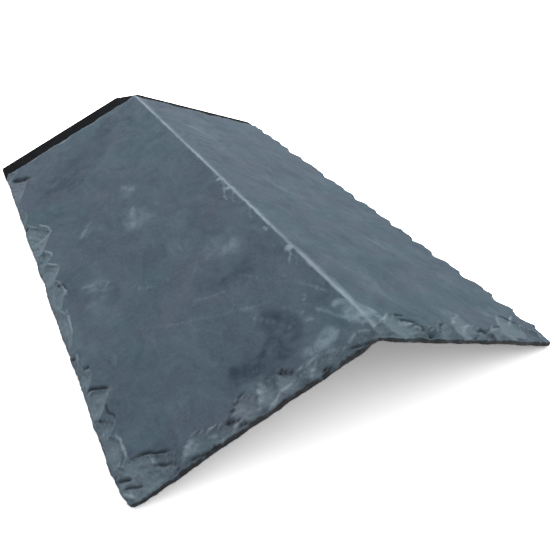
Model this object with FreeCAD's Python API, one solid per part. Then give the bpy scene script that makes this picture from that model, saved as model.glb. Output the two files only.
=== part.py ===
"""Slate-effect ridge tile: one V-shaped piece, moulded in a slate-coloured composite.

It straddles the ridge of a roof. Two equal wings meet at a rounded crest, and lie on the two slopes. The
wings' free edges (the eaves) and the butt (the low-Y end, which shows on the roof) are moulded to look
like hand-dressed slate, with flakes knocked off the upper face. The head (the high-Y end) carries a thin
plain lap with a flattened crown, which the next tile along the ridge covers with its butt.

Frame: millimetres, Y along the ridge from butt to head, X across it, Z up. The origin is under the crest,
halfway along, on the level floor that the eaves stand on. Writes parts/ridge_tile.step.
"""

import FreeCAD, Part
import os
from math import cos, radians, sin, tan
from FreeCAD import Vector

# ---- driving dimensions, mm and degrees ----
TILE_LENGTH = 450.0        # butt to the end of the lap
LAP_LENGTH = 30.0          # plain part at the head, under the next tile
WING_WIDTH = 150.0         # down the slope, from the sharp corner of the underside to the eave
WING_PITCH = 22.0          # of each wing, below level
BODY_THICKNESS = 6.5       # square to the wing
LAP_THICKNESS = 2.0        # square to the wing
LAP_CROWN_WIDTH = 24.0     # of the flat on the lap's crown
CREST_RADIUS = 4.0         # along the outside of the ridge
VALLEY_RADIUS = 3.0        # along the inside of the ridge
CROWN_WEB = 3.0            # of the wall that closes the ridge above the lap's flat crown
EDGE_LIP = 2.0             # thickness left at the foot of a dressed eave or butt
HEAD_LIP = 5.0             # the same at the head, where only the top corner is knocked off

# Dressed edges. Each row is one flake: its run along the edge, how far it reaches in over the upper face,
# and how far the edge itself is set back from its straight line, all at the flake's start. The rows
# repeat along a longer edge. The eaves' rows start past the butt's corner, the butt's and the head's at
# the ridge. The head isn't set back, because the next tile's butt comes up to it.
BUTT_CORNER = [(8, 15, 4.0), (17, 16, 1.9)]
LEFT_EAVE_FLAKES = [
    (23, 12, 0.0), (14, 17, 1.0), (20, 8, 1.4), (22, 6, 1.0), (20, 9, 0.6), (18, 13, 0.4), (16, 15, 0.2),
    (15, 17, 0.6), (17, 18, 0.1), (18, 12, 0.9), (14, 23, 0.7), (16, 19, 0.0), (20, 8, 0.9), (24, 8, 1.2),
    (22, 12, 0.8), (18, 14, 1.2), (20, 10, 0.5), (24, 12, 1.1), (19, 15, 0.7), (17, 10, 1.4),
]
RIGHT_EAVE_FLAKES = [
    (21, 7, 0.4), (20, 11, 1.2), (11, 7, 0.2), (13, 12, 2.3), (17, 6, 0.3), (19, 12, 2.6), (8, 6, 0.4),
    (15, 11, 2.1), (11, 6, 0.0), (20, 12, 2.4), (17, 7, 0.5), (15, 8, 0.8), (28, 13, 2.8), (25, 7, 0.4),
    (27, 12, 2.7), (40, 6, 0.2), (33, 13, 2.6), (30, 7, 0.6), (24, 12, 2.4),
]
BUTT_FLAKES = [
    (12, 14, 1.0), (13, 10, 0.2), (17, 15, 0.8), (11, 9, 0.0), (15, 12, 0.6), (12, 17, 0.3), (14, 11, 0.9),
    (16, 16, 0.2), (11, 12, 0.7), (15, 14, 0.0),
]
HEAD_FLAKES = [(22, 2.2, 0.0), (16, 1.2, 0.0), (27, 1.8, 0.0), (19, 1.0, 0.0), (24, 2.4, 0.0)]

# ---- worked out from them ----
PITCH = radians(WING_PITCH)
BODY_LENGTH = TILE_LENGTH - LAP_LENGTH
BUTT_Y = -TILE_LENGTH / 2
HEAD_Y = BUTT_Y + BODY_LENGTH
LAP_END_Y = BUTT_Y + TILE_LENGTH
RIDGE_Z = WING_WIDTH * sin(PITCH)      # height of the underside's sharp corner
CUT_CLEARANCE = 4.0                    # how far a cutter stands clear of what it cuts


def on_wing(side, down, along, height):
    """The point that far down the slope of a wing, along Y, and square out from its underside.

    side is -1 for the left wing and +1 for the right. A point at the ridge (down 0) lies on the mid-plane.
    """
    if down == 0:
        return Vector(0, along, RIDGE_Z + height / cos(PITCH))
    x = down * cos(PITCH) + height * sin(PITCH)
    z = (WING_WIDTH - down) * sin(PITCH) + height * cos(PITCH)
    return Vector(side * x, along, z)


def along_y(outline, start, length):
    """A prism of an outline that stands across the ridge, given as points at Y 0."""
    wire = Part.makePolygon([Vector(p.x, start, p.z) for p in outline + outline[:1]])
    return Part.Face(wire).extrude(Vector(0, length, 0))


def wing_outline(thickness):
    """The V of both wings, square-cut at the eaves, as points at Y 0."""
    left_eave, ridge, right_eave = (-1, WING_WIDTH), (1, 0), (1, WING_WIDTH)
    upper = [on_wing(side, down, 0, thickness) for side, down in (left_eave, ridge, right_eave)]
    lower = [on_wing(side, down, 0, 0) for side, down in (right_eave, ridge, left_eave)]
    return upper + lower


def ridge_edges(solid):
    """The crest's and the valley's edges, which run along Y on the mid-plane: (valley, crest)."""
    found = [e for e in solid.Edges if all(abs(v.Point.x) < 1e-6 for v in e.Vertexes)]
    return sorted(found, key=lambda e: e.Vertexes[0].Point.z)


def plain_body():
    """The body before its edges are dressed: a V with a rounded crest and valley."""
    body = along_y(wing_outline(BODY_THICKNESS), BUTT_Y, BODY_LENGTH)
    valley, crest = ridge_edges(body)
    body = body.makeFillet(CREST_RADIUS, [crest])
    return body.makeFillet(VALLEY_RADIUS, [ridge_edges(body)[0]])


def stations(flakes, length, before=(), first=0):
    """Places along a dressed edge, as (distance, reach, setback), from 0 to the edge's full length.

    The rows of before come once, and then the flakes in turn, starting at the one numbered first.
    """
    rows = list(before)
    while sum(run for run, _, _ in rows) < length:
        rows.append(flakes[(first + len(rows)) % len(flakes)])
    places = [(sum(run for run, _, _ in rows[:i]), row[1], row[2]) for i, row in enumerate(rows)]
    if length - places[-1][0] < rows[-1][0] / 2:      # the last flake would be a splinter
        places.pop()
    return places + [(length, rows[-1][1], rows[-1][2])]


def flake_section(reach, setback, foot, lip):
    """A dressing cutter's section, as (distance in from the straight edge, height above the underside).

    The cutter takes the setback off between the heights foot and lip, and slants in from there to the reach.
    """
    top = BODY_THICKNESS + CREST_RADIUS + CUT_CLEARANCE
    slope = (reach - setback) / (BODY_THICKNESS - lip)
    return [
        (-CUT_CLEARANCE, foot),
        (setback, foot),
        (setback, lip),
        (setback + slope * (top - lip), top),
        (-CUT_CLEARANCE, top),
    ]


def faceted_solid(rings):
    """A closed solid of flat triangles through rings of corners, one ring after the other."""
    faces = [Part.Face(Part.makePolygon(ring + ring[:1])) for ring in (rings[0], rings[-1])]
    count = len(rings[0])
    for ring, after in zip(rings, rings[1:]):
        for i in range(count):
            j = (i + 1) % count
            for triangle in ((ring[i], ring[j], after[j]), (ring[i], after[j], after[i])):
                faces.append(Part.Face(Part.makePolygon(list(triangle) + [triangle[0]])))
    solid = Part.makeSolid(Part.makeShell(faces))
    if solid.Volume < 0:
        solid.reverse()
    return solid


def eave_cutter(side, flakes):
    """What dressing takes off one eave, from beyond the butt to beyond the head."""
    places = stations(flakes, BODY_LENGTH, before=BUTT_CORNER)
    places[0] = (-CUT_CLEARANCE,) + places[0][1:]
    places[-1] = (BODY_LENGTH + CUT_CLEARANCE,) + places[-1][1:]
    rings = []
    for at, reach, setback in places:
        rings.append([on_wing(side, WING_WIDTH - inward, BUTT_Y + at, height)
                      for inward, height in flake_section(reach, setback, -CUT_CLEARANCE, EDGE_LIP)])
    return faceted_solid(rings)


def end_cutter(flakes, end_y, inward_sign, foot, lip):
    """What dressing takes off the butt or the head, over both wings, from eave to eave and beyond."""
    right = stations(flakes, WING_WIDTH)
    left = stations(flakes, WING_WIDTH, first=len(flakes) // 2)
    for places in (left, right):
        places[-1] = (WING_WIDTH + CUT_CLEARANCE,) + places[-1][1:]
    along = [(-1,) + place for place in left[:0:-1]] + [(1,) + place for place in right]
    rings = []
    for side, down, reach, setback in along:
        rings.append([on_wing(side, down, end_y + inward_sign * inward, height)
                      for inward, height in flake_section(reach, setback, foot, lip)])
    return faceted_solid(rings)


def lap():
    """The plain lap at the head, with its flat crown, and the web that closes the ridge above that crown."""
    half_flat = LAP_CROWN_WIDTH / 2
    flat_z = RIDGE_Z + LAP_THICKNESS / cos(PITCH) - half_flat * tan(PITCH)
    under_z = flat_z - LAP_THICKNESS
    half_under = (RIDGE_Z - under_z) / tan(PITCH)
    flat = [Vector(-half_flat, 0, flat_z), Vector(half_flat, 0, flat_z)]
    under = [Vector(half_under, 0, under_z), Vector(-half_under, 0, under_z)]
    right_edge = [on_wing(1, WING_WIDTH, 0, LAP_THICKNESS), on_wing(1, WING_WIDTH, 0, 0)]
    left_edge = [on_wing(-1, WING_WIDTH, 0, 0), on_wing(-1, WING_WIDTH, 0, LAP_THICKNESS)]
    tongue = along_y(flat + right_edge + under + left_edge, HEAD_Y, LAP_LENGTH)
    crown = [flat[0], on_wing(1, 0, 0, LAP_THICKNESS), flat[1]]
    return tongue.fuse(along_y(crown + under, HEAD_Y - CROWN_WEB, CROWN_WEB))


def ridge_tile():
    dressing = [
        eave_cutter(-1, LEFT_EAVE_FLAKES),
        eave_cutter(1, RIGHT_EAVE_FLAKES),
        end_cutter(BUTT_FLAKES, BUTT_Y, 1, -CUT_CLEARANCE, EDGE_LIP),
        end_cutter(HEAD_FLAKES, HEAD_Y, -1, LAP_THICKNESS, HEAD_LIP),
    ]
    body = plain_body()
    for cutter in dressing:
        body = body.cut(cutter)
    tile = body.fuse(lap()).removeSplitter()
    return tile.Solids[0] if len(tile.Solids) == 1 else tile


os.makedirs("parts", exist_ok=True)
tile = ridge_tile()
tile.exportStep("parts/ridge_tile.step")
box = tile.BoundBox
print("ridge_tile: solids", len(tile.Solids), "faces", len(tile.Faces), "valid", tile.isValid(),
      "volume %.0f mm3" % tile.Volume)
print("X %.3f to %.3f, Y %.3f to %.3f, Z %.3f to %.3f"
      % (box.XMin, box.XMax, box.YMin, box.YMax, box.ZMin, box.ZMax))
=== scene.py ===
import bpy
import numpy as np
from mathutils import Matrix, Vector


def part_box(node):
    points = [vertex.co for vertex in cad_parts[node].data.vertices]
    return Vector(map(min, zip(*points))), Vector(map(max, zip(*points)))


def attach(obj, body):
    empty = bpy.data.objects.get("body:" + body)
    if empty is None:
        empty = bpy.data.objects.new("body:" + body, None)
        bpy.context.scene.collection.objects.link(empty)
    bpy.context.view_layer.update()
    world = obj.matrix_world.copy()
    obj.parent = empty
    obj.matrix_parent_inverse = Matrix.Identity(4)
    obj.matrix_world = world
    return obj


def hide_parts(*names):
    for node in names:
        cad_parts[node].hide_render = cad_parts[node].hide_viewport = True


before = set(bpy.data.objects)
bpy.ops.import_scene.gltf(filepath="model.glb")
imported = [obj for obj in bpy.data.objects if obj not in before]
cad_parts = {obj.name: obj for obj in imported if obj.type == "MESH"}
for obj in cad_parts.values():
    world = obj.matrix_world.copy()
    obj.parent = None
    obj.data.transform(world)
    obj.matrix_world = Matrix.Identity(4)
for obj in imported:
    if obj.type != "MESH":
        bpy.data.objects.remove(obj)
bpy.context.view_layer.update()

# ----------------------------------------------------------------------------------------------------
# The slate face: the upper side of both wings and the rounded crest between them. It is one moulding in
# slate-coloured composite, cast in a mould taken from real slate. Its free edges copy hand-dressed slate:
# overlapping flakes are knocked off the upper face, and leave a thin, rough lip.
# ----------------------------------------------------------------------------------------------------

# sizes in millimetres, as the tile is built
WING = 150.0               # down the slope, from the underside's sharp ridge to the eave
BODY = 420.0               # the slate face, from the butt to the step down to the lap
BUTT_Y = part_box("ridge_tile")[0][1] * 1000.0
SLOPE = np.radians(22.0)
THICK = 6.5
CREST_ROUND = 4.0
VALLEY_ROUND = 3.0
LIP = 2.0                  # the thinnest that a flake leaves at an eave or at the butt
LAP_THICK = 2.0
SIN, COS, TAN = np.sin(SLOPE), np.cos(SLOPE), np.tan(SLOPE)
RIDGE_Z = WING * SIN
WIDEST_X = WING * COS + LAP_THICK * SIN        # the lap's edge, which nothing on the face passes
CELLS = 256
LATTICE = np.random.default_rng(41).random((CELLS, CELLS))


def smooth(low, high, value):
    """0 below low, 1 above high, and an S between them."""
    t = np.clip((value - low) / (high - low), 0.0, 1.0)
    return t * t * (3.0 - 2.0 * t)


def lumps(a, b, size, turn=0):
    """Even, smooth lumps from -1 to 1 over a plane, about size across. turn gives another set."""
    a, b = a / size + 17.3 * turn, b / size + 31.7 * turn
    i, j = np.floor(a).astype(int), np.floor(b).astype(int)
    p, q = smooth(0, 1, a - i), smooth(0, 1, b - j)
    i, next_i, j, next_j = i % CELLS, (i + 1) % CELLS, j % CELLS, (j + 1) % CELLS
    near = LATTICE[i, j] * (1 - p) + LATTICE[next_i, j] * p
    far = LATTICE[i, next_j] * (1 - p) + LATTICE[next_i, next_j] * p
    return 2.0 * (near * (1 - q) + far * q) - 1.0


def spaced(length, spacing):
    """Places from 0 to length, about spacing(place) apart."""
    fine = np.linspace(0.0, length, 4000)
    steps = np.concatenate([[0.0], np.cumsum(np.diff(fine) / spacing(fine[1:]))])
    return np.interp(np.linspace(0.0, steps[-1], int(round(steps[-1])) + 1), steps, fine)


# rows and columns lie close together where flakes are knocked off, and further apart on the plain face
columns = spaced(WING, lambda u: 0.74 + 1.6 * smooth(5, 18, u) * (1 - smooth(112, 124, u)))
columns = np.concatenate([-columns[:0:-1], columns])
rows = spaced(BODY, lambda v: 0.75 + 0.27 * smooth(24, 34, v) * (1 - smooth(404, 412, v)))

bpy.ops.object.select_all(action="DESELECT")
bpy.ops.mesh.primitive_grid_add(
    x_subdivisions=len(columns) - 1, y_subdivisions=len(rows) - 1, size=2.0,
)
tile = bpy.context.object
tile.name = "slate_ridge_tile"
flat = np.empty(len(tile.data.vertices) * 3)
tile.data.vertices.foreach_get("co", flat)
flat = flat.reshape(-1, 3)
column_of = np.rint((flat[:, 0] + 1) / 2 * (len(columns) - 1)).astype(int)
row_of = np.rint((flat[:, 1] + 1) / 2 * (len(rows) - 1)).astype(int)
side = np.sign(columns[column_of])
down = np.abs(columns[column_of])      # down the slope from the ridge
back = rows[row_of]                    # from the butt towards the head

# how far each free edge is set back from its straight line, at places along it
LEFT_EAVE_WANDER = [
    (0, 5.4), (2, 3.4), (8, 2.6), (14, 1.8), (20, 1.0), (28, 0.4), (38, 0.7), (48, 0.9), (62, 0.3),
    (74, 0.8), (86, 1.2), (95, 1.0), (104, 1.3), (112, 0.8), (121, 0.5), (132, 0.9), (144, 0.3),
    (158, 0.7), (170, 0.5), (181, 0.0), (194, 0.0), (205, 0.8), (216, 1.3), (228, 0.5), (238, 0.2),
    (250, 1.1), (262, 0.8), (276, 0.1), (292, 0.0), (303, 0.9), (315, 1.1), (328, 0.5), (341, 1.2),
    (356, 0.6), (370, 1.0), (384, 0.5), (396, 1.3), (408, 0.8), (420, 0.4),
]
RIGHT_EAVE_WANDER = [
    (0, 4.2), (2, 2.4), (9, 1.2), (22, 0.6), (34, 0.4), (46, 0.9), (55, 0.5), (64, 0.2), (70, 1.1),
    (75, 1.9), (80, 1.6), (92, 0.2), (101, 0.8), (106, 2.3), (111, 1.9), (125, 0.2), (130, 0.7),
    (135, 1.7), (140, 1.1), (150, 0.0), (157, 1.0), (161, 2.1), (166, 1.4), (180, 0.3), (189, 0.8),
    (198, 0.3), (206, 0.9), (211, 2.5), (218, 1.9), (231, 0.6), (241, 0.2), (253, 0.9), (262, 2.4),
    (269, 1.5), (281, 0.7), (293, 0.0), (306, 0.5), (318, 0.9), (328, 2.3), (337, 1.7), (355, 0.8),
    (367, 0.3), (380, 0.9), (391, 2.2), (404, 1.4), (420, 0.7),
]
LEFT_BUTT_WANDER = [
    (0, 1.4), (6, 1.0), (14, 0.3), (25, 0.5), (36, 0.1), (47, 0.7), (55, 0.9), (66, 0.3), (77, 0.8),
    (88, 0.5), (98, 0.9), (110, 0.2), (121, 0.0), (132, 0.1), (143, 0.0), (150, 0.9),
]
RIGHT_BUTT_WANDER = [
    (0, 1.4), (8, 0.9), (17, 0.2), (29, 0.6), (40, 0.0), (52, 0.6), (63, 0.4), (74, 1.0), (85, 0.3),
    (96, 1.2), (105, 1.0), (116, 0.3), (128, 0.3), (141, 0.0), (150, 0.5),
]


def wander(table, place):
    """How far an edge is set back there, with the small teeth that a break has."""
    x, y = np.array(table, float).T
    teeth = 0.5 * np.abs(lumps(place, 0 * place, 5.3, 1)) + 0.34 * lumps(place, 0 * place, 2.6, 2)
    return np.maximum(np.interp(place, x, y) + teeth, 0.0)


eave_set = np.where(side < 0, wander(LEFT_EAVE_WANDER, back), wander(RIGHT_EAVE_WANDER, back))
butt_set = np.where(side < 0, wander(LEFT_BUTT_WANDER, down), wander(RIGHT_BUTT_WANDER, down))
head_set = 0.5 + 0.5 * lumps(side * down, 0 * down, 9.0, 3) + 0.25 * lumps(side * down, 0 * down, 3.0, 4)
head_set = np.clip(head_set, 0.0, None)
from_eave, from_butt, from_head = WING - down, back.copy(), BODY - back
down = down - eave_set * smooth(WING - 26, WING, down)
back = back + butt_set * (1 - smooth(0, 24, back)) - head_set * smooth(BODY - 12, BODY, back)

depth = np.zeros(len(down))         # knocked off the face, square to the wing
tint = np.zeros(len(down))          # each flake's tone, made paler at the near-left corner as painted light
fresh = np.zeros(len(down))         # 1 on a flake's scar, 0 on the face
arris_highlight = np.zeros(len(down))         # painted highlight, 1 along the sharp border of a scar


def on_face(size, turn):
    """Lumps over the whole face, from left to right and from butt to head."""
    return lumps(side * down, back, size, turn)


def knock_off(wing, along, inward, at, half, reach, deep,
              step=0.7, lean=0.0, skew=0.0, tone=0.0, square=1.7):
    """One flake off an edge. along and inward are each point's place along the edge and in from it.

    at and half are the flake's middle and half-length along the edge, reach how far in it goes, and deep
    how much it takes off the edge. step is the height of its inner border, lean tips the scar along the
    edge, and skew slants it. tone is paler above 0 and darker below. square is 1 for a pointed flake and
    more for a blunt one.
    """
    turn = int(at) % 9
    shift = 0.9 * lumps(along, inward, 7.5, turn) + 0.35 * lumps(along, inward, 2.6, turn + 3)
    across = (along + shift - at - skew * inward) / half
    edge = (inward + 0.8 * shift) / reach + np.abs(across) ** square
    width = 0.7 / reach + 0.01
    slope = np.clip(1 - edge, 0, 1)
    ledge = np.floor(slope * 3.2 + 0.35 * lumps(along, inward, 8.0, turn + 1)) / 3.2
    scar = step * smooth(0, width, 1 - edge) + (deep - step) * (0.72 * slope ** 0.85 + 0.28 * ledge)
    scar = scar * (1 + lean * np.clip(across, -1, 1))
    scar = scar + 0.13 * np.sin(edge * reach * 1.3 + at) * smooth(0.05, 0.3, 1 - edge)
    inside = wing & (edge < 1) & (scar > depth)
    depth[inside] = scar[inside]
    tint[inside] = tone
    fresh[inside] = 1.0
    arris_highlight[inside] *= 0.25
    # a painted highlight along the scar's border
    border = wing & (np.abs(edge - 1.03) * reach < 1.1) & (scar >= depth - 0.5)
    patchy = 0.35 + 0.55 * smooth(0.0, 0.5, lumps(along, inward, 9.0, turn + 5))
    glint = (1 - np.abs(edge - 1.03) * reach / 1.1) * patchy
    arris_highlight[border] = np.maximum(arris_highlight[border], glint[border])


left, right = side <= 0, side >= 0

# the flakes that stand out, then smaller ones at random between them
LEFT_EAVE = [
    # at, half, reach, deep, step, lean, skew, tone, square
    (408, 13, 13, 3.6, 0.5, 0.0, 0.2, 0.5, 1.3), (371, 31, 20, 3.2, 0.4, 0.3, 0.6, 0.1, 1.15),
    (322, 27, 7, 3.6, 0.5, 0.0, 0.0, 0.6, 1.5), (274, 30, 22, 3.8, 0.6, 0.3, -0.1, 0.7, 1.15),
    (258, 18, 16, 4.1, 0.4, 0.3, 0.3, 1.0, 1.3), (239, 15, 15, 3.8, 0.7, 0.3, 0.0, 0.0, 1.4),
    (213, 20, 16, 3.9, 0.6, 0.4, 0.3, 0.9, 1.6), (187, 27, 15, 3.6, 0.5, 0.3, 0.2, 0.6, 1.5),
    (148, 32, 10, 3.6, 0.4, 0.2, 0.3, 0.6, 1.4), (117, 11, 6, 3.8, 0.6, 0.0, 0.0, 0.2, 1.5),
    (94, 16, 10, 3.8, 0.5, 0.3, 0.2, 0.5, 1.4), (67, 15, 17, 3.9, 0.8, 0.5, 0.5, 0.6, 1.2),
    (51, 12, 13, 3.8, 0.5, 0.3, 0.0, 0.3, 1.3), (34, 17, 12, 3.8, 0.5, 0.2, 0.0, 0.7, 1.5),
    # this flake's pale tone is painted light on the shaded near-left corner
    (11, 16, 15, 3.8, 0.5, 0.2, 0.0, 0.9, 1.5),
]
LEFT_BUTT = [
    # the pale tones of the first two flakes are painted light on the shaded near-left corner
    (127, 25, 24, 3.9, 0.7, 0.0, 0.4, 0.5, 1.15), (134, 22, 13, 4.2, 0.5, 0.1, -0.1, 1.0, 1.4),
    (103, 12, 13, 4.0, 0.6, -0.2, -0.1, 0.6, 1.4), (92, 11, 9, 4.1, 0.5, 0.2, 0.0, 0.1, 1.4),
    (82, 10, 9, 4.2, 0.7, 0.3, 0.3, -0.4, 1.3), (72, 13, 15, 3.8, 0.7, 0.3, 0.1, 0.7, 1.35),
    (59, 10, 18, 4.0, 1.0, 0.3, 0.05, 0.9, 1.3), (48, 8, 18, 3.8, 1.0, 0.3, 0.15, 1.0, 1.2),
    (52, 15, 6.5, 4.3, 0.6, 0.1, -0.3, 0.6, 1.5), (34, 10, 11, 4.1, 0.5, 0.2, 0.0, 0.5, 1.3),
    (22, 11, 8, 4.0, 0.5, 0.2, 0.2, 0.4, 1.4), (8, 10, 8, 4.1, 0.6, -0.2, 0.0, 0.1, 1.5),
]
RIGHT_EAVE = [
    (6, 11, 15, 4.2, 0.8, 0.2, 0, 0.5), (24, 12, 12, 3.8, 0.7, 0.3, 0, 0.2),
    (44, 10, 12, 4.1, 0.8, 0.2, 0.1, 0.5), (59, 7, 7, 4.0, 0.7, 0, 0, 0.0),
    (77, 10, 11, 4.2, 1.1, 0.3, 0.1, 0.6), (92, 7, 7, 3.9, 0.6, 0.2, 0, 0.1),
    (107, 10, 11, 4.3, 1.1, 0.2, 0.1, 0.7), (122, 8, 7, 3.9, 0.6, 0, 0, 0.2),
    (134, 8, 12, 4.2, 1.0, 0.2, 0, 0.4), (148, 8, 7, 3.8, 0.6, 0.1, 0, 0.0),
    (161, 9, 11, 4.3, 1.1, 0.2, 0, 0.7), (180, 13, 8, 3.9, 0.6, 0.3, 0, 0.2),
    (198, 8, 7, 3.9, 0.6, 0, 0, 0.1), (213, 12, 12, 4.3, 1.1, 0.3, 0.1, 0.6),
    (233, 10, 8, 3.9, 0.6, 0, 0, 0.1), (248, 9, 7, 3.9, 0.7, 0.2, 0, 0.4),
    (264, 13, 11, 4.3, 1.1, 0.2, 0, 0.6), (284, 12, 7, 3.8, 0.6, 0.1, 0, 0.2),
    (307, 14, 8, 3.9, 0.6, 0.2, 0, 0.0), (331, 14, 11, 4.3, 1.1, 0.2, 0.1, 0.6),
    (354, 13, 8, 3.9, 0.7, 0, 0, 0.3), (374, 12, 8, 3.9, 0.6, 0.2, 0, 0.1),
    (394, 12, 11, 4.3, 1.0, 0.2, 0, 0.5), (412, 11, 9, 3.9, 0.7, 0, 0, 0.2),
]
RIGHT_BUTT = [
    (6, 10, 9, 4.1, 0.5, 0.2, 0.0, 0.2, 1.5), (18, 15, 17, 3.9, 0.8, 0.3, -0.1, 1.2, 1.4),
    (36, 8, 8, 4.2, 0.7, 0.2, 0.0, -0.3, 1.5), (48, 9, 13, 4.0, 0.5, 0.2, 0.3, 0.6, 1.2),
    (66, 12, 22, 3.8, 0.7, 0.3, 0.4, 1.5, 1.1), (72, 15, 12, 4.2, 0.5, 0.1, 0.0, 0.9, 1.5),
    (86, 7, 8, 4.2, 0.8, 0.0, 0.0, -0.3, 1.5), (96, 8, 10, 4.0, 0.5, 0.0, 0.0, 0.9, 1.6),
    (110, 15, 25, 3.8, 0.7, 0.3, 0.25, 1.5, 1.15), (127, 11, 13, 4.1, 0.6, 0.2, 0.0, 0.4, 1.4),
    (142, 11, 15, 4.1, 0.6, 0.0, 0.0, 0.6, 1.4),
]
HEAD = [
    (9, 12, 4, 1.2), (27, 12, 3, 0.9), (46, 14, 6, 1.4), (63, 10, 3, 1.0), (81, 13, 7, 1.3),
    (99, 10, 3, 0.9), (117, 14, 5, 1.3), (136, 11, 4, 1.2),
]

# every free edge is thinned towards its lip before the flakes
edge_in = np.minimum(from_eave, from_butt)
thinning = (THICK - LIP - 0.9) * (1 - smooth(0, 5.5, edge_in + 0.9 * on_face(7.0, 5)))
depth = np.maximum(depth, np.clip(thinning, 0, None))
fresh = np.maximum(fresh, smooth(0.1, 0.5, thinning))

for wing, along, inward, flakes in (
    (left, back, from_eave, LEFT_EAVE), (left, down, from_butt, LEFT_BUTT),
    (right, back, from_eave, RIGHT_EAVE), (right, down, from_butt, RIGHT_BUTT),
):
    for flake in flakes:
        knock_off(wing, along, inward, *flake)
for wing in (left, right):
    for at, half, reach, deep in HEAD:
        knock_off(wing, down, from_head, at, half, reach, deep, 0.4, 0.2, 0.0, 0.9)

chance = np.random.default_rng(7)
for wing, along, inward, length, gap in (
    (left, back, from_eave, BODY, 7.0), (right, back, from_eave, BODY, 7.0),
    (left, down, from_butt, WING, 5.0), (right, down, from_butt, WING, 5.0),
):
    for at in np.arange(gap / 2, length, gap):
        at = at + chance.uniform(-0.4, 0.4) * gap
        half, reach = chance.uniform(2.0, 6.0), chance.uniform(2.0, 6.0)
        deep, tone = chance.uniform(3.2, 4.5), chance.uniform(-1.1, 1.1)
        step, lean = chance.uniform(0.4, 1.1), chance.uniform(-0.4, 0.6)
        knock_off(wing, along, inward, at, half, reach, deep, step, lean, chance.uniform(-0.4, 0.4), tone)

# cracks and ledges that run on from the flakes, as (wing, [(down, back), ...], width, how deep)
CRACKS = [
    (-1, [(146, 401), (136, 392), (124, 381)], 3.8, 2.6),
    (-1, [(148, 303), (145, 299), (143, 296)], 2.0, 1.0),
    (-1, [(142, 201), (135, 194), (133, 184)], 1.3, 0.8),
    (-1, [(149, 123), (147, 119), (145, 117)], 1.4, 1.1),
    (-1, [(144, 104), (141, 102), (138, 101)], 1.7, 1.3),
    (-1, [(149, 86), (143, 85), (136, 79), (130, 74)], 1.7, 1.6),
    (-1, [(137, 70), (138, 61), (134, 51)], 1.1, 0.7), (-1, [(149, 62), (145, 60), (142, 57)], 1.1, 0.8),
    (-1, [(137, 24), (128, 20), (120, 15), (112, 11)], 1.3, 1.2),
    (-1, [(128, 13), (120, 8), (112, 3)], 1.2, 1.0), (-1, [(148, 18), (143, 15), (138, 12)], 1.6, 1.2),
    (-1, [(147, 12), (141, 9), (134, 5)], 1.1, 0.8), (-1, [(111, 3), (105, 3), (98, 1)], 1.5, 1.0),
    (-1, [(87, 9), (81, 7), (76, 4)], 1.3, 1.0), (-1, [(82, 4), (77, 3), (73, 1)], 1.5, 1.1),
    (-1, [(52, 17), (46, 12), (42, 8)], 1.2, 0.9), (-1, [(33, 4), (28, 2), (25, 3)], 1.1, 0.8),
    (-1, [(16, 4), (9, 3), (2, 2)], 1.5, 1.0), (-1, [(84, 8), (77, 15), (68, 19)], 1.1, 0.5),
    (1, [(19, 17), (24, 18), (30, 16)], 1.4, 0.9), (1, [(20, 14), (27, 13), (33, 10)], 1.6, 1.1),
    (1, [(28, 12), (33, 7), (31, 3)], 1.4, 1.0), (1, [(35, 5), (38, 3), (37, 1)], 2.2, 1.5),
    (1, [(43, 2), (49, 8), (55, 15)], 0.9, 0.6), (1, [(79, 7), (82, 7), (85, 5)], 2.2, 1.5),
    (1, [(70, 2), (75, 3), (79, 5)], 1.1, 0.8), (1, [(97, 11), (101, 10), (105, 12)], 1.1, 0.7),
    (1, [(117, 25), (122, 20), (124, 12)], 1.5, 0.9), (1, [(113, 4), (117, 2), (118, 1)], 1.8, 1.1),
    (1, [(87, 4), (90, 3), (93, 2)], 1.3, 0.9),
]

# thin arrises that stand up between flakes, with a painted highlight along each, as (wing, [(down, back),
# ...], width)
ARRISES = [
    (-1, [(138, 250), (135, 243), (134, 235)], 1.1), (-1, [(142, 232), (137, 227), (133, 220)], 1.1),
    (-1, [(137, 200), (135, 190), (135, 180)], 1.2), (-1, [(139, 165), (140, 150), (141, 138)], 1.0),
    (-1, [(138, 42), (137, 33), (137, 24)], 1.2), (-1, [(135, 292), (130, 283), (127, 275)], 1.0),
    (-1, [(140, 271), (134, 268), (128, 273)], 0.9), (-1, [(126, 17), (126, 13), (124, 10)], 1.0),
    (-1, [(146, 9), (143, 5), (141, 2)], 1.3), (-1, [(69, 4), (66, 8), (61, 16)], 1.4),
    (-1, [(65, 0), (60, 4), (54, 6), (46, 7)], 1.3), (-1, [(112, 4), (109, 8), (104, 11)], 1.1),
    (-1, [(42, 9), (36, 10), (30, 10)], 1.1), (-1, [(38, 3), (36, 6), (32, 8)], 1.0),
    (-1, [(94, 6), (92, 3), (92, 1)], 1.0), (-1, [(85, 2), (82, 5), (79, 5)], 1.1),
    (1, [(6, 10), (11, 14), (16, 19)], 1.1), (1, [(20, 11), (26, 10), (29, 6)], 1.2),
    (1, [(60, 10), (68, 17), (75, 21)], 1.1), (1, [(68, 7), (74, 12), (77, 12)], 1.0),
    (1, [(91, 6), (95, 9), (100, 9)], 1.2), (1, [(103, 12), (110, 19), (116, 24)], 1.1),
    (1, [(118, 15), (124, 20), (131, 24)], 1.3),
]


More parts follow.
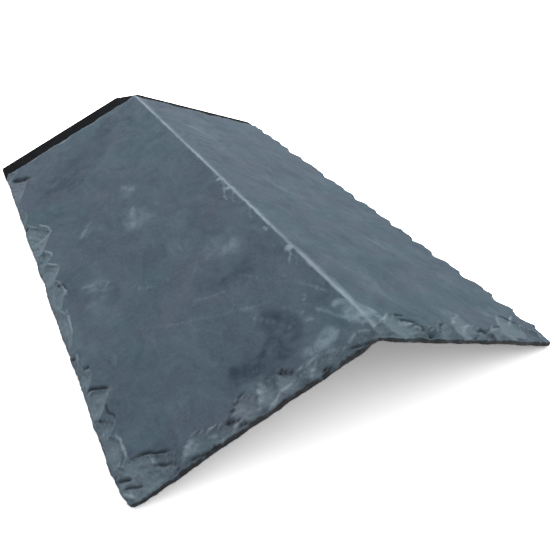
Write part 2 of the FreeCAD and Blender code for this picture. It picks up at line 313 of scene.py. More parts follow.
def from_line(line):
    """How far each point lies from a line of places on a wing, and how far along it, 0 to 1."""
    points = np.array(line, float)
    lengths = np.concatenate([[0], np.cumsum(np.hypot(*np.diff(points, axis=0).T))])
    px = down + 0.6 * lumps(down, back, 3.5, 6)
    py = back + 0.6 * lumps(down, back, 3.5, 7)
    best = np.full(len(down), 1e9)
    place = np.zeros(len(down))
    for (x0, y0), (x1, y1), start, end in zip(points, points[1:], lengths, lengths[1:]):
        t = np.clip(((px - x0) * (x1 - x0) + (py - y0) * (y1 - y0)) / (end - start) ** 2, 0, 1)
        away = np.hypot(px - x0 - t * (x1 - x0), py - y0 - t * (y1 - y0))
        nearer = away < best
        best[nearer] = away[nearer]
        place[nearer] = (start + t * (end - start))[nearer] / lengths[-1]
    return best, place


# a mask of painted shade in each crack, beside the groove that it cuts
crack_shade = np.zeros(len(down))
for wing, line, width, deep in CRACKS:
    away, place = from_line(line)
    taper = smooth(0, 0.25, place) * (1 - smooth(0.7, 1.0, place)) * 0.85 + 0.15
    groove = np.where(side == wing, np.clip(1 - away / (width * taper), 0, 1), 0)
    depth = depth + deep * taper * groove
    crack_shade = np.maximum(crack_shade, groove * taper)

for wing, line, width in ARRISES:
    away, place = from_line(line)
    ridge = np.where(side == wing, np.clip(1 - away / width, 0, 1), 0)
    ridge = ridge * (0.35 + 0.65 * np.sin(np.pi * place))
    depth = np.maximum(depth - 0.35 * ridge, 0)
    arris_highlight = np.maximum(arris_highlight, 1.3 * ridge)

# paler and darker marks on the face, among them painted shade in a hollow low on the left wing and painted
# highlight beside the crest near the butt, as (wing, down, back, half-width, half-length, strength)
MARKS_AND_PAINTED_LIGHT = [
    (-1, 23, 14, 11, 7, 1.5), (-1, 16, 18, 5, 7, 1.1), (-1, 3, 24, 5, 15, 1.5),
    (-1, 30, 135, 16, 16, 0.5), (-1, 22, 122, 9, 12, 0.4), (-1, 66, 218, 14, 22, 0.55),
    (-1, 58, 262, 8, 18, 0.4), (-1, 100, 238, 12, 10, 0.4), (-1, 112, 170, 12, 16, 0.5),
    (-1, 75, 372, 62, 48, -0.55), (-1, 118, 140, 12, 30, 0.35), (-1, 45, 180, 22, 16, 0.3),
    (-1, 18, 250, 10, 26, 0.3), (-1, 141, 130, 8, 34, 0.4), (-1, 57, 28, 15, 12, -1.5),
    (-1, 34, 42, 14, 18, -1.1), (-1, 30, 96, 16, 12, -0.7), (-1, 105, 315, 26, 34, -0.5),
    (-1, 110, 60, 30, 34, -0.35), (-1, 52, 105, 12, 10, -0.4), (-1, 85, 175, 22, 16, -0.35),
    (-1, 30, 390, 26, 18, -0.3), (1, 30, 60, 12, 40, 0.4), (1, 70, 20, 10, 10, 0.7),
    (1, 112, 26, 14, 12, 0.6), (1, 60, 200, 14, 50, 0.35), (1, 95, 110, 12, 50, 0.3),
    (1, 40, 330, 20, 40, 0.35), (1, 30, 130, 14, 30, -0.4), (1, 80, 270, 16, 50, -0.4),
    (1, 110, 180, 16, 34, -0.3), (1, 4, 16, 6, 12, 1.2), (1, 24, 30, 12, 9, -0.6),
    (1, 55, 395, 40, 14, -0.4),
]

# thin pale scratches, as (wing, [(down, back), ...], width, strength)
SCRATCHES = [
    (-1, [(1, 196), (3, 186), (6, 178), (7, 170)], 1.2, 0.9),
    (-1, [(0, 178), (3, 172), (5, 164)], 1.0, 0.7), (-1, [(0, 214), (2, 204), (2, 196)], 1.0, 0.6),
    (-1, [(1, 92), (4, 86), (8, 79)], 1.0, 0.9), (-1, [(3, 88), (3, 80), (6, 74)], 0.9, 0.7),
    (-1, [(0, 150), (3, 143), (4, 136)], 1.0, 0.6),
    (-1, [(105, 108), (84, 92), (62, 79), (40, 65)], 1.6, 0.45),
    (-1, [(63, 276), (58, 262), (50, 250)], 2.4, 0.4), (-1, [(72, 205), (66, 222), (62, 236)], 3.0, 0.4),
    (-1, [(108, 236), (100, 246), (92, 250)], 2.6, 0.4), (-1, [(10, 62), (6, 52), (4, 40)], 1.4, 0.6),
    (-1, [(14, 40), (9, 30), (6, 18)], 1.8, 0.7), (-1, [(124, 176), (112, 172), (104, 164)], 2.4, 0.45),
    (-1, [(44, 60), (34, 44), (30, 34)], 1.6, 0.9), (-1, [(28, 56), (22, 44), (18, 30)], 1.5, 0.9),
    (-1, [(50, 74), (40, 66), (30, 62)], 1.2, 0.7), (-1, [(66, 100), (52, 92), (42, 90)], 1.2, 0.7),
    (-1, [(36, 98), (28, 90), (24, 80)], 1.2, 0.8), (-1, [(12, 52), (20, 40), (22, 32)], 1.2, 0.8),
    (-1, [(94, 150), (88, 138), (78, 132)], 1.2, 0.7), (1, [(6, 60), (4, 42), (3, 26)], 1.6, 0.6),
    (1, [(30, 250), (46, 222), (60, 190)], 2.6, 0.35), (1, [(70, 150), (84, 120), (92, 96)], 2.6, 0.35),
    (1, [(24, 350), (40, 320), (50, 290)], 3.0, 0.3),
]

# a painted highlight runs as a thin pale line along the step at the head, and the marks and scratches are
# added to it
marks_and_painted_light = 1.0 - smooth(0.4, 2.6, from_head + 1.6 * on_face(6.0, 21))
for wing, at_down, at_back, half_down, half_back, strength in MARKS_AND_PAINTED_LIGHT:
    around = np.hypot((down - at_down) / half_down, (back - at_back) / half_back)
    around = around + 0.35 * on_face(9.0, 13) + 0.2 * on_face(4.0, 14)
    marks_and_painted_light += np.where(side == wing, strength * (1 - smooth(0.35, 1.25, around)), 0)
for wing, line, width, strength in SCRATCHES:
    away, place = from_line(line)
    taper = smooth(0, 0.2, place) * (1 - smooth(0.75, 1, place)) * 0.8 + 0.2
    marks_and_painted_light += np.where(side == wing, strength * (1 - smooth(0.3, 1.0, away / (width * taper))), 0)

# the crest is painted pale, partly as wear and partly as a painted highlight, over a wider band towards the
# butt, with one larger spot and chips beside it
CREST_SPOT = (-1, 92)      # across the tile, and back from the butt
over = side * down + 0.5 * on_face(3.2, 18)
crest_wear_and_highlight = smooth(-0.9, 0.3, over) * (0.85 + 0.35 * on_face(14.0, 15))
spread = 0.25 + 0.4 * (1 - smooth(60, 150, back))
crest_wear_and_highlight = crest_wear_and_highlight * (spread * (1 - smooth(1.5, 6.0, over)) + (1 - spread) * (1 - smooth(1.2, 3.2, over)))
from_spot = np.hypot(side * down - CREST_SPOT[0], back - CREST_SPOT[1])
crest_wear_and_highlight = np.maximum(crest_wear_and_highlight, 0.9 * (1 - smooth(1.5, 4.0, from_spot)))
ragged = 0.5 + 0.5 * on_face(5.0, 16) + 0.35 * on_face(2.2, 19)
ragged = ragged * smooth(-0.1, 0.4, lumps(back, 0 * back, 26.0, 22))
chipped = smooth(0.66, 0.74, ragged) * (1 - smooth(2.0, 5.0, down))
chipped = chipped * smooth(4, 20, back) * (1 - smooth(190, 260, back))
crest_wear_and_highlight = np.clip(np.maximum(crest_wear_and_highlight, 0.8 * chipped), 0, 1)

# the face is a little wavy, the scars are rough, and the crest is worn down towards the butt
rough = 0.40 * np.abs(lumps(side * down, back + 0.4 * down, 6.2, 8)) - 0.15
rough = rough + 0.20 * np.abs(on_face(2.9, 9)) + 0.08 * on_face(1.5, 17) - 0.08
wave = 0.16 * on_face(42.0, 10) + 0.07 * on_face(15.0, 11) + 0.03 * on_face(5.0, 12)
worn = 1.6 * (1 - smooth(2, 34, from_butt)) * (1 - smooth(0, 9, down))
worn = worn + 0.45 * np.abs(on_face(7.0, 20)) * (1 - smooth(2, 8, down)) * (1 - smooth(150, 260, back))
depth = depth + fresh * (rough + 0.25) + (wave + 0.25) * smooth(0, 6, down) + worn
depth = np.clip(depth, 0.02, THICK - LIP + 0.5)

# from places on the wings to the V: depth goes square to the wing, and straight down at the crest
out = smooth(0, 12, down)
x = down * COS + THICK * SIN * out
apex = RIDGE_Z + THICK / COS
z = apex - x * TAN
arc = x < CREST_ROUND * SIN
z[arc] = apex - CREST_ROUND / COS + np.sqrt(CREST_ROUND ** 2 - x[arc] ** 2)
face = np.stack([
    side * (x - depth * SIN * out),
    back + BUTT_Y,
    z - depth * (COS + (1 - COS) * (1 - out)),
], axis=1)
face[side == 0, 0] = 0.0
face[:, 0] = np.clip(face[:, 0], -WIDEST_X, WIDEST_X)
tile.data.vertices.foreach_set("co", (face / 1000.0).ravel())

# ----------------------------------------------------------------------------------------------------
# The lap, the rim and the underside of the same moulding. The lap is plain and thin, with straight edges
# and a flattened crown, so that the next tile's butt lies over it. The underside is plain too.
# ----------------------------------------------------------------------------------------------------

LAP_END = 450.0
LAP_FLAT = 12.0            # half the width of the flat on its crown
CROWN_WEB = 3.0            # of the wall that closes the ridge above the flat
FLAT_Z = RIDGE_Z + LAP_THICK / COS - LAP_FLAT * TAN
FLAT_UNDER_Z = FLAT_Z - LAP_THICK
FLAT_UNDER = (RIDGE_Z - FLAT_UNDER_Z) / TAN
LAP_ROUND = 0.35           # of its upper arrises

span = len(columns)
count = len(tile.data.vertices)
order = np.empty((len(rows), span), int)
order[row_of, column_of] = np.arange(count)
flat_column = int(np.argmin(np.abs(columns - LAP_FLAT / COS)))      # becomes the flat's edge
TOUCH = 1e-9


def lap_line(y, drop=0.0, under=False):
    """The lap's upper or lower line across the tile at y, one point for each column."""
    u = np.abs(columns)
    slope_from = columns[flat_column]
    inner = u <= slope_from + TOUCH
    flat_to = FLAT_UNDER if under else LAP_FLAT
    flat_z = FLAT_UNDER_Z if under else FLAT_Z - drop
    thick = 0.0 if under else LAP_THICK - drop
    far_x = WING * COS + thick * SIN
    slope_x = flat_to + (u - slope_from) / (WING - slope_from) * (far_x - flat_to)
    line_x = np.where(inner, u / slope_from * flat_to, slope_x)
    line_z = np.where(inner, flat_z, RIDGE_Z + thick / COS - line_x * TAN)
    return np.stack([np.sign(columns) * line_x, np.full(span, y), line_z], axis=1)


step_foot = lap_line(BUTT_Y + BODY)
step_foot[:, 1] = face[order[-1], 1]
lap_lines = [order[-1]]
vertices = [tuple(p) for p in face / 1000.0]
for line in (
    step_foot,
    lap_line(BUTT_Y + LAP_END - LAP_ROUND),
    lap_line(BUTT_Y + LAP_END, drop=LAP_ROUND),
):
    lap_lines.append(np.arange(len(vertices), len(vertices) + span))
    vertices += [tuple(p) for p in line / 1000.0]


def skin(lines):
    """Four-sided faces between each line of points and the next."""
    return [(int(a[i]), int(a[i + 1]), int(b[i + 1]), int(b[i]))
            for a, b in zip(lines, lines[1:]) for i in range(span - 1)]


faces = skin(order)
face_quads = len(faces)
faces += skin(lap_lines)

# the rim goes from the lip straight down to the underside, all round
eaves = {}
for name, sign, column in (("left", -1, 0), ("right", 1, span - 1)):
    tops = [int(i) for i in order[:, column]] + [int(line[column]) for line in lap_lines[1:]]
    feet = []
    for top in tops:
        u = down[top] if top < count else WING
        feet.append(len(vertices))
        vertices.append((sign * u * COS / 1000.0, vertices[top][1], (WING - u) * SIN / 1000.0))
    eaves[name] = (tops, feet)


def valley_z(x):
    """Height of the underside at that distance from the mid-plane."""
    inside = RIDGE_Z - VALLEY_ROUND / COS + np.sqrt(np.maximum(VALLEY_ROUND ** 2 - x ** 2, 0))
    return np.where(x < VALLEY_ROUND * SIN, inside, RIDGE_Z - x * TAN)


butt_feet = [eaves["left"][1][0]]
for column in range(1, span - 1):
    top = int(order[0, column])
    foot_x = down[top] * COS
    butt_feet.append(len(vertices))
    vertices.append((side[top] * foot_x / 1000.0, vertices[top][1], float(valley_z(foot_x)) / 1000.0))
butt_feet.append(eaves["right"][1][0])
butt_tops = [int(i) for i in order[0]]

end_feet = [eaves["left"][1][-1]]
under_line = lap_line(BUTT_Y + LAP_END, under=True)
for column in range(1, span - 1):
    end_feet.append(len(vertices))
    vertices.append(tuple(under_line[column] / 1000.0))
end_feet.append(eaves["right"][1][-1])
end_tops = [int(i) for i in lap_lines[-1]]

rim_start = len(faces)
for tops, feet in (eaves["left"], (end_tops, end_feet)):
    faces += [(tops[i], tops[i + 1], feet[i + 1], feet[i]) for i in range(len(tops) - 1)]
for tops, feet in (eaves["right"], (butt_tops, butt_feet)):
    faces += [(tops[i + 1], tops[i], feet[i], feet[i + 1]) for i in range(len(tops) - 1)]

# the underside: a plane under each wing, the rounded valley, and the wall and flat under the lap's crown
web_y = (BUTT_Y + BODY - CROWN_WEB) / 1000.0
valley = [c for c in range(span) if abs(columns[c]) * COS < VALLEY_ROUND * SIN]
valley = [valley[0] - 1] + valley + [valley[-1] + 1]
web = {}
for column in valley:
    web[column] = len(vertices)
    foot = vertices[butt_feet[column]]
    vertices.append((foot[0], web_y, foot[2]))
left_flat, right_flat = span - 1 - flat_column, flat_column
web_left = len(vertices)
vertices.append((-FLAT_UNDER / 1000.0, web_y, FLAT_UNDER_Z / 1000.0))
web_right = len(vertices)
vertices.append((FLAT_UNDER / 1000.0, web_y, FLAT_UNDER_Z / 1000.0))
faces.append(tuple([web[valley[0]], web_left] + end_feet[left_flat:0:-1] + eaves["left"][1][::-1]
                   + butt_feet[1:valley[0] + 1]))
faces.append(tuple([web_right, web[valley[-1]]] + butt_feet[valley[-1]:span - 1] + eaves["right"][1]
                   + end_feet[span - 2:right_flat - 1:-1]))
faces.append(tuple([web_left, web_right] + end_feet[right_flat:left_flat - 1:-1]))
faces.append(tuple([web_right, web_left] + [web[c] for c in valley]))
faces += [(butt_feet[a], butt_feet[b], web[b], web[a]) for a, b in zip(valley, valley[1:])]

mesh = bpy.data.meshes.new("slate_ridge_tile")
mesh.from_pydata(vertices, [], faces)
mesh.update()
mesh.validate()
old = tile.data
tile.data = mesh
bpy.data.meshes.remove(old)

bpy.context.view_layer.objects.active = tile
tile.select_set(True)
bpy.ops.object.mode_set(mode="EDIT")
bpy.ops.mesh.select_all(action="SELECT")
bpy.ops.mesh.remove_doubles(threshold=1e-6)
bpy.ops.mesh.normals_make_consistent(inside=False)
bpy.ops.object.mode_set(mode="OBJECT")
bpy.ops.object.shade_smooth_by_angle(angle=np.radians(38))
tile.data.name = "slate_ridge_tile"

# what the finishes need to know at each point: on the face, and then below it on the rim and the lap
WIDE_FOOT, NARROW_FOOT = 3.4, 1.7       # the dark foot of the left butt, and of the other edges
foot_width = np.where((from_butt < from_eave) & (down < 118) & (side < 0), WIDE_FOOT, NARROW_FOOT)
dark_edge_foot = 0.95 * (1 - smooth(0, 1, edge_in / foot_width))
for name, values, below in (
    ("fresh", fresh, 1.0), ("flake_tone", tint, 0.0), ("arris_highlight", arris_highlight, 0.0), ("crack_shade", crack_shade, 0.0),
    ("marks_and_painted_light", marks_and_painted_light, 0.0), ("crest_wear_and_highlight", crest_wear_and_highlight, 0.0), ("dark_edge_foot", dark_edge_foot, 1.0),
):
    layer = tile.data.attributes.new(name, "FLOAT", "POINT")
    full = np.full(len(tile.data.vertices), below, np.float32)
    full[:count] = values
    layer.data.foreach_set("value", full)

# ----------------------------------------------------------------------------------------------------
# The two finishes of the moulding. The face is matt blue-grey slate with cloudy green and purple patches,
# paler where flakes came off. The lap and the underside show the bare composite: near-black and dull.
# ----------------------------------------------------------------------------------------------------


def node_group(name, inputs, outputs):
    """A new shader node group with those sockets, and its input and output nodes."""
    group = bpy.data.node_groups.new(name, "ShaderNodeTree")
    for title, kind, default in inputs:
        socket = group.interface.new_socket(title, in_out="INPUT", socket_type=kind)
        if default is not None:
            socket.default_value = default
    for title, kind in outputs:
        group.interface.new_socket(title, in_out="OUTPUT", socket_type=kind)
    return group, group.nodes.new("NodeGroupInput"), group.nodes.new("NodeGroupOutput")


def noise(tree, vector, scale, detail=4.0, rough=0.55, distortion=0.0):
    """A noise texture's Fac on that vector."""
    node = tree.nodes.new("ShaderNodeTexNoise")
    node.inputs["Scale"].default_value = scale
    node.inputs["Detail"].default_value = detail
    node.inputs["Roughness"].default_value = rough
    node.inputs["Distortion"].default_value = distortion
    tree.links.new(vector, node.inputs["Vector"])
    return node.outputs["Fac"]


def math(tree, kind, a, b=0.0, clamp=False):
    """A Math node's value. a and b are sockets or numbers."""
    node = tree.nodes.new("ShaderNodeMath")
    node.operation = kind
    node.use_clamp = clamp
    for socket, value in zip(node.inputs, (a, b)):
        if isinstance(value, (int, float)):
            socket.default_value = value
        else:
            tree.links.new(value, socket)
    return node.outputs[0]


def band(tree, value, low, high, to_low=0.0, to_high=1.0):
    """value mapped from low..high to to_low..to_high, smoothly and clamped."""
    node = tree.nodes.new("ShaderNodeMapRange")
    node.interpolation_type = "SMOOTHSTEP"
    for title, number in (("From Min", low), ("From Max", high), ("To Min", to_low), ("To Max", to_high)):
        node.inputs[title].default_value = number
    tree.links.new(value, node.inputs["Value"])
    return node.outputs["Result"]


def mix(tree, amount, a, b, kind="MIX"):
    """A colour mix. a and b are sockets or RGB."""
    node = tree.nodes.new("ShaderNodeMix")
    node.data_type = "RGBA"
    node.blend_type = kind
    for socket, value in ((node.inputs[0], amount), (node.inputs[6], a), (node.inputs[7], b)):
        if isinstance(value, (int, float)):
            socket.default_value = value
        elif isinstance(value, tuple):
            socket.default_value = (*value, 1.0)
        else:
            tree.links.new(value, socket)
    return node.outputs[2]


def stretched(tree, vector, scale, turn=0.0):
    """vector scaled and turned about Z."""
    node = tree.nodes.new("ShaderNodeMapping")
    node.inputs["Scale"].default_value = scale
    node.inputs["Rotation"].default_value = (0.0, 0.0, turn)
    tree.links.new(vector, node.inputs["Vector"])
    return node.outputs["Vector"]


# cloudy slate colour: blue-grey, with green and purple patches, faint pale streaks and dark stains
clouds, g_in, g_out = node_group("slate_clouds", [
    ("Vector", "NodeSocketVector", None),
    ("Base", "NodeSocketColor", (0.08, 0.11, 0.14, 1)),
    ("Green", "NodeSocketColor", (0.08, 0.12, 0.14, 1)),
    ("Purple", "NodeSocketColor", (0.09, 0.10, 0.14, 1)),
    ("Pale", "NodeSocketColor", (0.14, 0.18, 0.2, 1)),
    ("Dark", "NodeSocketColor", (0.05, 0.06, 0.085, 1)),
], [("Color", "NodeSocketColor")])
place = g_in.outputs["Vector"]
green = band(clouds, noise(clouds, place, 14.0, 5.0, 0.6, 0.6), 0.46, 0.66)
purple = noise(clouds, stretched(clouds, place, (1.0, 1.4, 1.0), 0.5), 19.0, 5.0, 0.62, 0.8)
purple = band(clouds, purple, 0.5, 0.68)
shade = mix(clouds, green, g_in.outputs["Base"], g_in.outputs["Green"])
shade = mix(clouds, purple, shade, g_in.outputs["Purple"])
streak = noise(clouds, stretched(clouds, place, (1.0, 0.42, 1.0), -0.7), 60.0, 6.0, 0.68, 1.4)
patch = band(clouds, noise(clouds, place, 22.0, 3.0, 0.5), 0.48, 0.64)
streak = math(clouds, "MULTIPLY", band(clouds, streak, 0.52, 0.72), band(clouds, patch, 0.0, 1.0, 0.3, 1.0))
shade = mix(clouds, math(clouds, "MULTIPLY", streak, 0.6), shade, g_in.outputs["Pale"])
haze = noise(clouds, stretched(clouds, place, (1.0, 0.7, 1.0), 0.4), 42.0, 7.0, 0.72, 1.0)
shade = mix(clouds, band(clouds, haze, 0.42, 0.72, 0.0, 0.34), shade, g_in.outputs["Pale"])
shade = mix(clouds, band(clouds, haze, 0.5, 0.3, 0.0, 0.36), shade, g_in.outputs["Dark"])
stain = math(clouds, "MULTIPLY", band(clouds, noise(clouds, place, 75.0, 6.0, 0.7, 0.5), 0.5, 0.66),
             band(clouds, noise(clouds, place, 9.0, 2.0, 0.5), 0.55, 0.7))
shade = mix(clouds, math(clouds, "MULTIPLY", stain, 0.5), shade, g_in.outputs["Dark"])
scuff = noise(clouds, stretched(clouds, place, (1.0, 0.55, 1.0), 0.9), 150.0, 8.0, 0.74, 1.6)
shade = mix(clouds, band(clouds, scuff, 0.53, 0.70, 0.0, 0.42), shade, g_in.outputs["Pale"])
shade = mix(clouds, band(clouds, scuff, 0.46, 0.30, 0.0, 0.36), shade, g_in.outputs["Dark"])
speck = noise(clouds, place, 520.0, 3.0, 0.7)
shade = mix(clouds, band(clouds, speck, 0.35, 0.75, 0.0, 0.26), shade, g_in.outputs["Pale"])
clouds.links.new(shade, g_out.inputs["Color"])

# fine grain as a height from 0 to 1, for both finishes
grain, g_in, g_out = node_group("fine_grain", [
    ("Vector", "NodeSocketVector", None), ("Scale", "NodeSocketFloat", 1.0),
], [("Height", "NodeSocketFloat")])
size = grain.nodes.new("ShaderNodeVectorMath")
size.operation = "SCALE"
grain.links.new(g_in.outputs["Vector"], size.inputs[0])
grain.links.new(g_in.outputs["Scale"], size.inputs["Scale"])
coarse = noise(grain, size.outputs[0], 130.0, 5.0, 0.62, 0.3)
fine = noise(grain, size.outputs[0], 620.0, 4.0, 0.7)
height = math(grain, "ADD", math(grain, "MULTIPLY", coarse, 0.65), math(grain, "MULTIPLY", fine, 0.35))
grain.links.new(height, g_out.inputs["Height"])


def use_group(tree, group, vector, **values):
    """That group placed in a material with its own values."""
    node = tree.nodes.new("ShaderNodeGroup")
    node.node_tree = group
    tree.links.new(vector, node.inputs["Vector"])
    for title, value in values.items():
        node.inputs[title].default_value = (*value, 1.0) if isinstance(value, tuple) else value
    return node


def attribute(tree, name):
    """A value stored on the mesh."""
    node = tree.nodes.new("ShaderNodeAttribute")
    node.attribute_name = name
    return node.outputs["Fac"]


def add_bump(tree, shader, height, strength, distance):
    """Fine relief on a material. distance is in metres, for a height of 1."""
    bump = tree.nodes.new("ShaderNodeBump")
    bump.inputs["Strength"].default_value = strength
    bump.inputs["Distance"].default_value = distance
    tree.links.new(height, bump.inputs["Height"])
    tree.links.new(bump.outputs["Normal"], shader.inputs["Normal"])


slate = bpy.data.materials.new("moulded_slate")
slate.use_nodes = True
tree = slate.node_tree
shader = tree.nodes["Principled BSDF"]
coord = tree.nodes.new("ShaderNodeTexCoord").outputs["Object"]
face_colour = use_group(
    tree, clouds, coord,
    Base=(0.068, 0.100, 0.133), Green=(0.065, 0.109, 0.137), Purple=(0.073, 0.095, 0.131),
    Pale=(0.125, 0.172, 0.212), Dark=(0.028, 0.046, 0.074),
).outputs["Color"]
scar_colour = use_group(
    tree, clouds, coord,
    Base=(0.098, 0.142, 0.180), Green=(0.096, 0.152, 0.184), Purple=(0.106, 0.130, 0.174),
    Pale=(0.26, 0.32, 0.37), Dark=(0.034, 0.048, 0.070),
).outputs["Color"]
fresh_mask = attribute(tree, "fresh")
tone = attribute(tree, "flake_tone")
scar_colour = mix(tree, band(tree, tone, 0.0, -0.9, 0.0, 0.75), scar_colour, (0.030, 0.040, 0.058))
scar_colour = mix(tree, band(tree, tone, 0.1, 1.6, 0.0, 0.8), scar_colour, (0.185, 0.248, 0.285))
marks_and_painted_light = attribute(tree, "marks_and_painted_light")
mottle = noise(tree, coord, 95.0, 6.0, 0.7, 0.8)
# pale: marks and scratches, and painted highlight at the head step and beside the crest
pale_mark_and_highlight = math(tree, "MULTIPLY", band(tree, marks_and_painted_light, 0.0, 1.3, 0.0, 0.8), band(tree, mottle, 0.28, 0.66))
face_colour = mix(tree, pale_mark_and_highlight, face_colour, (0.225, 0.305, 0.352))
# dark: marks, and painted shade in a hollow of the face
dark_mark_and_shade = math(tree, "MULTIPLY", band(tree, marks_and_painted_light, 0.0, -1.3, 0.0, 0.8), band(tree, mottle, 0.78, 0.36))
face_colour = mix(tree, dark_mark_and_shade, face_colour, (0.021, 0.036, 0.056))
# painted highlight along the crest, partly wear
crest_wear_and_highlight_mask = math(tree, "MULTIPLY", attribute(tree, "crest_wear_and_highlight"), band(tree, mottle, 0.25, 0.5, 0.55, 1.0))
face_colour = mix(tree, math(tree, "MULTIPLY", crest_wear_and_highlight_mask, 0.85), face_colour, (0.30, 0.375, 0.425))
broken = noise(tree, coord, 260.0, 4.0, 0.6)
splinter = noise(tree, stretched(tree, coord, (1.0, 0.45, 1.0), 0.7), 330.0, 6.0, 0.72, 1.2)
scar_colour = mix(tree, band(tree, splinter, 0.54, 0.72, 0.0, 0.4), scar_colour, (0.25, 0.31, 0.35))
scar_colour = mix(tree, band(tree, splinter, 0.46, 0.3, 0.0, 0.35), scar_colour, (0.026, 0.034, 0.050))
colour = mix(tree, math(tree, "MULTIPLY", fresh_mask, 0.9), face_colour, scar_colour)
# painted highlight: pale along the borders of the scars and on the arrises
arris_highlight_mask = math(tree, "MULTIPLY", attribute(tree, "arris_highlight"), band(tree, broken, 0.30, 0.48))
colour = mix(tree, math(tree, "MULTIPLY", arris_highlight_mask, 0.85, True), colour, (0.29, 0.36, 0.41))
# painted shade: near-black in the cracks
crack_shade_mask = math(tree, "MULTIPLY", attribute(tree, "crack_shade"), 0.95, True)
colour = mix(tree, crack_shade_mask, colour, (0.012, 0.014, 0.018))
uneven = math(tree, "MULTIPLY", math(tree, "SUBTRACT", broken, 0.5), 1.4)
# near-black on the rim and along the free edges of the face
foot = band(tree, math(tree, "ADD", attribute(tree, "dark_edge_foot"), uneven), 0.5, 1.0)
colour = mix(tree, math(tree, "MULTIPLY", foot, 0.92), colour, (0.020, 0.0175, 0.0165))
tree.links.new(colour, shader.inputs["Base Color"])
sheen_map = noise(tree, coord, 35.0, 4.0, 0.6)
tree.links.new(band(tree, sheen_map, 0.3, 0.7, 0.76, 0.9), shader.inputs["Roughness"])
shader.inputs["Specular IOR Level"].default_value = 0.18
height = use_group(tree, grain, coord).outputs["Height"]
height = math(tree, "ADD", height, math(tree, "MULTIPLY", mottle, 0.9))
scar_height = noise(tree, stretched(tree, coord, (1.0, 0.5, 1.0), 0.6), 210.0, 5.0, 0.65, 0.5)
scar_height = math(tree, "MULTIPLY", scar_height, math(tree, "MULTIPLY", fresh_mask, 1.6))
add_bump(tree, shader, math(tree, "ADD", height, scar_height), 0.6, 0.0007)

bare = bpy.data.materials.new("bare_composite")
bare.use_nodes = True
tree = bare.node_tree
shader = tree.nodes["Principled BSDF"]
coord = tree.nodes.new("ShaderNodeTexCoord").outputs["Object"]
bare_colour = use_group(
    tree, clouds, coord,
    Base=(0.0040, 0.0046, 0.0060), Green=(0.004, 0.005, 0.006), Purple=(0.0045, 0.0046, 0.0062),
    Pale=(0.009, 0.010, 0.012), Dark=(0.003, 0.0032, 0.004),
).outputs["Color"]
tree.links.new(bare_colour, shader.inputs["Base Color"])
tree.links.new(band(tree, noise(tree, coord, 60.0), 0.3, 0.7, 0.74, 0.86), shader.inputs["Roughness"])
shader.inputs["Specular IOR Level"].default_value = 0.03
add_bump(tree, shader, use_group(tree, grain, coord).outputs["Height"], 0.35, 0.0003)

# the face and the rim under its three dressed edges are slate, and all the rest is bare
SLATE, BARE = 0, 1
tile.data.materials.append(slate)
tile.data.materials.append(bare)
index = np.full(len(tile.data.polygons), BARE, np.int32)
index[:face_quads] = SLATE
right_rim = rim_start + len(eaves["left"][0]) - 1 + span - 1
butt_rim = right_rim + len(eaves["right"][0]) - 1
for first, length in ((rim_start, len(rows) - 1), (right_rim, len(rows) - 1), (butt_rim, span - 1)):
    index[first:first + length] = SLATE
tile.data.polygons.foreach_set("material_index", index)

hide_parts("ridge_tile")
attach(tile, "root")

# ----------------------------------------------------------------------------------------------------
# The stage: a plain white floor, a white sky that lights the tile softly from all round, one large soft
# lamp behind it and the camera.
# ----------------------------------------------------------------------------------------------------

bpy.ops.object.select_all(action="DESELECT")
bpy.ops.mesh.primitive_plane_add(size=12.0, location=(0, 0, 0))
floor = bpy.context.object
floor.name = "floor"
white = bpy.data.materials.new("white_floor")
white.use_nodes = True
tree = white.node_tree
tree.nodes.remove(tree.nodes["Principled BSDF"])
matt = tree.nodes.new("ShaderNodeBsdfDiffuse")


def backdrop_rays(tree):
    """1 for a ray that should meet white: seen straight, in a reflection, or through a clear piece."""
    path = tree.nodes.new("ShaderNodeLightPath")
    mirrored = math(tree, "ADD", path.outputs["Is Camera Ray"], path.outputs["Is Glossy Ray"])
    return math(tree, "ADD", mirrored, path.outputs["Is Transmission Ray"], True)


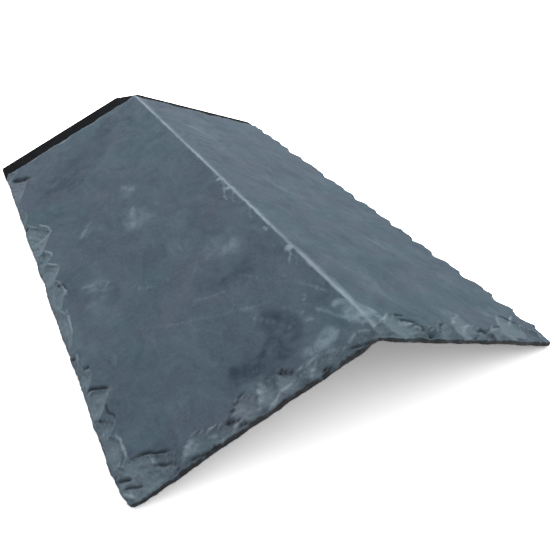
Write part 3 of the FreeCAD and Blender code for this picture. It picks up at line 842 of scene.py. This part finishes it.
FLOOR_LIGHT, FLOOR_SEEN, FLOOR_GLOW = 0.8, 3.1, 0.16       # as it lights the tile, and as it is seen
SKY_LIGHT, SKY_SEEN = 0.5, 1.0
seen = backdrop_rays(tree)
tree.links.new(mix(tree, seen, (FLOOR_LIGHT,) * 3, (FLOOR_SEEN,) * 3), matt.inputs["Color"])
lift = tree.nodes.new("ShaderNodeEmission")
lift.inputs["Color"].default_value = (1, 1, 1, 1)
tree.links.new(math(tree, "MULTIPLY", seen, FLOOR_GLOW), lift.inputs["Strength"])
both = tree.nodes.new("ShaderNodeAddShader")
tree.links.new(matt.outputs[0], both.inputs[0])
tree.links.new(lift.outputs[0], both.inputs[1])
tree.links.new(both.outputs[0], tree.nodes["Material Output"].inputs["Surface"])
floor.data.materials.append(white)

world = bpy.data.worlds.new("white_sky")
bpy.context.scene.world = world
world.use_nodes = True
tree = world.node_tree
sky = tree.nodes["Background"]
sky.inputs["Color"].default_value = (1, 1, 1, 1)
whiter = math(tree, "MULTIPLY", backdrop_rays(tree), SKY_SEEN - SKY_LIGHT)
tree.links.new(math(tree, "ADD", whiter, SKY_LIGHT), sky.inputs["Strength"])


LAMP_AT = Vector((0.9, 2.6, 3.0))
light = bpy.data.lights.new("back_lamp", "AREA")
light.size = 2.0
light.energy = 124.0
lamp = bpy.data.objects.new("back_lamp", light)
bpy.context.scene.collection.objects.link(lamp)
lamp.location = LAMP_AT
lamp.rotation_euler = (-LAMP_AT).to_track_quat("-Z", "Y").to_euler()

# the camera looks down on the butt from the left, and is turned a little about its own line of sight
camera = bpy.data.cameras.new("camera")
holder = bpy.data.objects.new("camera", camera)
bpy.context.scene.collection.objects.link(holder)
CAMERA_AT = Vector((-0.1533981, -0.4031991, 0.2497379))
AZIMUTH, ELEVATION, ROLL = -0.4126, 0.6533, -0.0334        # in radians
backward = Vector((
    np.sin(AZIMUTH) * np.cos(ELEVATION),
    -np.cos(AZIMUTH) * np.cos(ELEVATION),
    np.sin(ELEVATION),
))
rightward = (-backward).cross(Vector((0, 0, 1))).normalized()
upward = rightward.cross(-backward)
turn, tip = float(np.cos(ROLL)), float(np.sin(ROLL))
across, up = rightward * turn + upward * tip, upward * turn - rightward * tip
holder.matrix_world = Matrix((
    (across.x, up.x, backward.x, CAMERA_AT.x),
    (across.y, up.y, backward.y, CAMERA_AT.y),
    (across.z, up.z, backward.z, CAMERA_AT.z),
    (0, 0, 0, 1),
))
camera.sensor_width = 36.0
camera.lens = 38.65
camera.shift_x = 0.0673
camera.shift_y = 0.0639
camera.clip_start = 0.01
bpy.context.scene.camera = holder
bpy.context.scene.view_settings.view_transform = "Standard"
